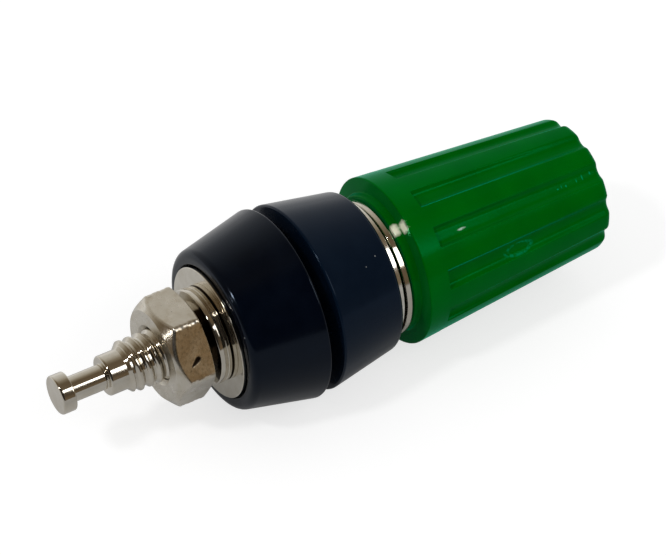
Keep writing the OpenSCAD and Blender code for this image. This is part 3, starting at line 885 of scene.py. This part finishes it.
# Scratches along the same flute, painted as bright glints.
SCRATCH_GLINTS = [
    (5.36, 131.2, 25.25, (0.2, 0.06, 0.12)), (5.42, 132.3, 24.45, (0.2, 0.05, 0.20)),
    (5.46, 133.3, 23.85, (0.2, 0.04, 0.12)), (5.53, 133.9, 22.79, (0.2, 0.06, 0.09)),
    (5.56, 133.2, 22.37, (0.2, 0.03, 0.12)), (5.59, 133.9, 21.98, (0.2, 0.08, 0.06)),
]
# Two cream painted highlights, on the collar's neck and on its shoulder.
COLLAR_HIGHLIGHTS = [(5.70, 115.0, 7.74, (0.35, 0.30, 0.44), True), (6.38, 117.2, 8.17, (0.42, 0.30, 0.44), True)]
SCUFFED, SCRATCH_GLINT_GREEN = (0.0, 0.19, 0.06, 1), (0.0, 0.25, 0.09, 1)
PALE_GLINT_COLOUR, HIGHLIGHT_CREAM = (0.42, 0.55, 0.47, 1), (0.95, 0.92, 0.72, 1)
LINE_OUTER, LINE_INNER, PATCH_LOW, PATCH_HIGH = 0.24, 0.04, 0.36, 0.54
HIGHLIGHT_OUTER, HIGHLIGHT_INNER = 2.5, 1.1
HIGHLIGHT_RAGGED, RUBBED_DULLER, GREEN_ROUGH_LOW, GREEN_ROUGH_HIGH = 1.6, 0.25, 0.16, 0.26

off_line = work_out(tree, "ABSOLUTE", work_out(tree, "SUBTRACT", reach(tree, point, *SCUFF), 1.0))
patchy = ramp(tree, grain, PATCH_LOW, PATCH_HIGH)
rubbed = work_out(tree, "MULTIPLY", ramp(tree, off_line, LINE_OUTER, LINE_INNER), patchy)
coloured = blend(tree, rubbed, deep, SCUFFED)
# Painted glints on the scratches, then the pale painted glint.
for place in SCRATCH_GLINTS:
    coloured = blend(tree, speck(tree, point, *place), coloured, SCRATCH_GLINT_GREEN)
coloured = blend(tree, work_out(tree, "MULTIPLY", speck(tree, point, *PALE_GLINT), patchy), coloured, PALE_GLINT_COLOUR)
# Painted highlights on the collar, with ragged edges.
for place in COLLAR_HIGHLIGHTS:
    ragged = work_out(tree, "MULTIPLY_ADD", grain, HIGHLIGHT_RAGGED, reach(tree, point, *place))
    coloured = blend(tree, ramp(tree, ragged, HIGHLIGHT_OUTER, HIGHLIGHT_INNER), coloured, HIGHLIGHT_CREAM)
tree.links.new(coloured, shader.inputs["Base Color"])
smooth = ramp(tree, streaks, 0.3, 0.7, GREEN_ROUGH_LOW, GREEN_ROUGH_HIGH)
tree.links.new(work_out(tree, "MULTIPLY_ADD", rubbed, RUBBED_DULLER, smooth), shader.inputs["Roughness"])
print("finish:", green_plastic.name)

# %% [markdown]
# ## Knob
# The knob tapers towards the plug mouth and has twelve sunk flutes with square beginnings, which run out at
# its front edge. Next to the clamp washer it has a short neck and a nearly flat shoulder. Twelve cutters
# could make the flutes. As a function, a flute is a bowl across the angle, cone minus depth times (1 - t to
# a power), where t is 1 at its edges. A high power gives the flat floor and steep walls at the beginning,
# and a low one the open valley at the front end. The soft minimum of the cone and the bowl rounds the edges
# of the lands.

# %% Radius of the grip
KNOB_LOW, RIM_H, KNOB_TOP = 7.53, 8.24, 26.29
COLLAR_R, NECK_FLARE, NECK_TOP, RIM_R, KNOB_TOP_R, KNOB_ROUND = 5.65, 0.12, 8.10, 6.95, 5.60, 0.6
FLUTES, FLUTE_TURN, FLUTE_WIDE, FLUTE_START, FLUTE_WALL = 12, 13.0, 14.5, 10.04, 0.14
FLUTE_DEEP, FLUTE_END_DEEP, FLUTE_POWER, FLUTE_END_POWER = 0.45, 0.32, 4.5, 2.4
LAND_ROUND, LAND_END_ROUND = 0.07, 0.20


def knob_radius(height, angle):
    """Radius of the grip: the soft minimum of a cone and of flutes, cone - depth * (1 - t ** power)."""
    cone_r = RIM_R + (KNOB_TOP_R - RIM_R) * (height - RIM_H) / (KNOB_TOP - RIM_H)
    period = 360 / FLUTES
    off = np.abs(np.mod(np.degrees(angle) - FLUTE_TURN + period / 2, period) - period / 2)
    run = np.clip((height - FLUTE_START) / (KNOB_TOP - FLUTE_START), 0, 1)
    depth = FLUTE_DEEP + (FLUTE_END_DEEP - FLUTE_DEEP) * run
    power = FLUTE_POWER + (FLUTE_END_POWER - FLUTE_POWER) * run
    bowl = cone_r - depth * (1 - (off / (FLUTE_WIDE / 2)) ** power)
    closed = 1 - step_up((height - FLUTE_START) / FLUTE_WALL)
    return soft_least(cone_r, bowl + closed, LAND_ROUND + (LAND_END_ROUND - LAND_ROUND) * run)


# %% [markdown]
# The columns lie closest where a flute's wall is steep, and the rows where a flute begins, so the grid
# stays light. The collar and the bore are plain profiles, so the whole knob is one looped grid: collar,
# grip, round front, bore.

# %% Knob
WALL_FROM, WALL_TO = 0.62 * FLUTE_WIDE / 2, 1.16 * FLUTE_WIDE / 2
COLLAR_START, COLLAR_CLOSE, RIM_LAND, RIM_FALL = 0.20, 0.5, 0.30, 0.022
LAND_ROWS, START_MARGIN, GRIP_MARGIN, TOP_MARGIN = (0.5, 0.9, 1.4, 1.6, 1.7), 0.01, 0.3, 0.05
CLEAR_R, INSERT_R, INSERT_LOW, INSERT_TOP, INSERT_COLLAR = 3.475, 4.5, 9.63, 16.13, 4.225
MOUTH_FACE, MOUTH_ROUND = 0.6, 0.18
VALLEY_COLUMNS, WALL_COLUMNS, LAND_COLUMNS = 5, 17, 5
START_ROWS, GRIP_ROWS, ROUND_ROWS = 11, 30, 11

half_period = np.concatenate([
    np.linspace(0, WALL_FROM, VALLEY_COLUMNS, endpoint=False), np.linspace(WALL_FROM, WALL_TO, WALL_COLUMNS),
    np.linspace(WALL_TO, 180 / FLUTES, LAND_COLUMNS)[1:],
])
one_flute = np.concatenate([-half_period[:0:-1], half_period[:-1]])
knob_angle = np.radians((FLUTE_TURN + 360 / FLUTES * np.arange(FLUTES)[:, None] + one_flute).ravel())[None]
collar = rounded([
    (COLLAR_R - COLLAR_START, KNOB_LOW, 0), (COLLAR_R, KNOB_LOW, 0.10),
    (COLLAR_R + NECK_FLARE, NECK_TOP, 0.12), (RIM_R, RIM_H, 0.10), (RIM_R - RIM_FALL, RIM_H + RIM_LAND, 0),
], False)
grip_h = np.concatenate([
    RIM_H + np.array(LAND_ROWS),
    FLUTE_START + np.linspace(-START_MARGIN, FLUTE_WALL + START_MARGIN, START_ROWS),
    np.linspace(FLUTE_START + GRIP_MARGIN, KNOB_TOP - KNOB_ROUND - TOP_MARGIN, GRIP_ROWS),
])[:, None]
bend = np.linspace(0, np.pi / 2, ROUND_ROWS)[:, None]
front_h = KNOB_TOP - KNOB_ROUND + KNOB_ROUND * np.sin(bend)
front_r = knob_radius(front_h, knob_angle) - KNOB_ROUND * (1 - np.cos(bend))
bore = rounded([
    (CLEAR_R + MOUTH_FACE, KNOB_TOP, 0), (CLEAR_R, KNOB_TOP, MOUTH_ROUND), (CLEAR_R, INSERT_TOP, 0),
    (INSERT_R, INSERT_TOP, 0), (INSERT_R, INSERT_LOW, 0), (INSERT_COLLAR, INSERT_LOW, 0),
    (INSERT_COLLAR, KNOB_LOW, 0.05), (COLLAR_R - COLLAR_CLOSE, KNOB_LOW, 0),
], False)
grip = (knob_radius(grip_h, knob_angle), grip_h)
radius, height = stacked(knob_angle, np.split(collar, 2, 1), grip, (front_r, front_h), np.split(bore, 2, 1))
knob = skin("fluted_knob", radius, height, knob_angle, True)
knob.data.materials.append(green_plastic)
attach(knob, "knob")
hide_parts("knob")

# %% [markdown]
# ## Threaded insert
# A plain brass sleeve is moulded into the knob and carries its thread. It hardly shows, so the CAD solid
# itself stays and only gets a finish: brass with a cloudy haze in its colour and roughness, as the nickel
# has.

# %% Finish: insert brass
LIGHT_BRASS, DULL_BRASS = (0.78, 0.60, 0.30, 1), (0.66, 0.48, 0.22, 1)
BRASS_ROUGH_LOW, BRASS_ROUGH_HIGH = 0.22, 0.36

insert_brass, tree, shader, point = finish("insert_brass")
shader.inputs["Metallic"].default_value = 1.0
haze = noise(tree, point, scale=1.4, detail=5.0)
tree.links.new(blend(tree, haze, LIGHT_BRASS, DULL_BRASS), shader.inputs["Base Color"])
tree.links.new(ramp(tree, haze, 0.3, 0.7, BRASS_ROUGH_LOW, BRASS_ROUGH_HIGH), shader.inputs["Roughness"])
insert_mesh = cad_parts["knob_insert"].data
insert_mesh.materials.clear()
insert_mesh.materials.append(insert_brass)
print("finish:", insert_brass.name)
